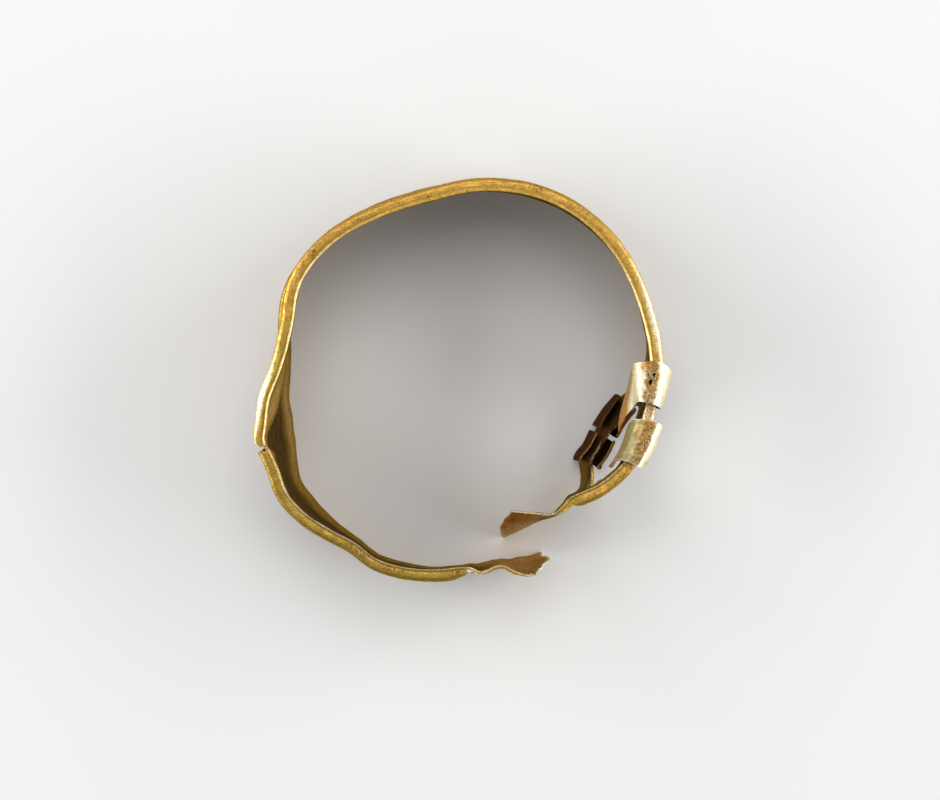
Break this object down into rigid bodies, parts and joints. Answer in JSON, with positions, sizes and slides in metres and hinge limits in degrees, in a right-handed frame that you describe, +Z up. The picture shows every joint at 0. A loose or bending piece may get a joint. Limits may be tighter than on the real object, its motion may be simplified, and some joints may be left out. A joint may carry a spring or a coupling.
{
  "type": "gold bracelet",
  "caption": "Hollow-rimmed sheet-gold band bracelet, dented, cracked and torn open, with short rolled sleeves gripping its rims.",
  "frame": {"origin": "on the surface it lies on, under the middle of the whole bracelet's box", "axes": "+Z up along the hoop's axis, +X towards the rolled sleeves, -Y towards the torn opening"},
  "size_m": [0.0678, 0.0678, 0.0264],
  "materials": {
    "band_gold": "worn gold with olive tarnish and specks of red-brown soil",
    "pale_gold": "pale pitted gold with orange-red stains",
    "stained_gold": "gold under a dull red-brown stain"
  },
  "bodies": {
    "root": {"band": "band_gold", "top_rim_sleeve_1": "pale_gold", "top_rim_sleeve_2": "pale_gold", "bottom_rim_sleeve_1": "stained_gold", "bottom_rim_sleeve_2": "stained_gold"}
  },
  "joints": []
}
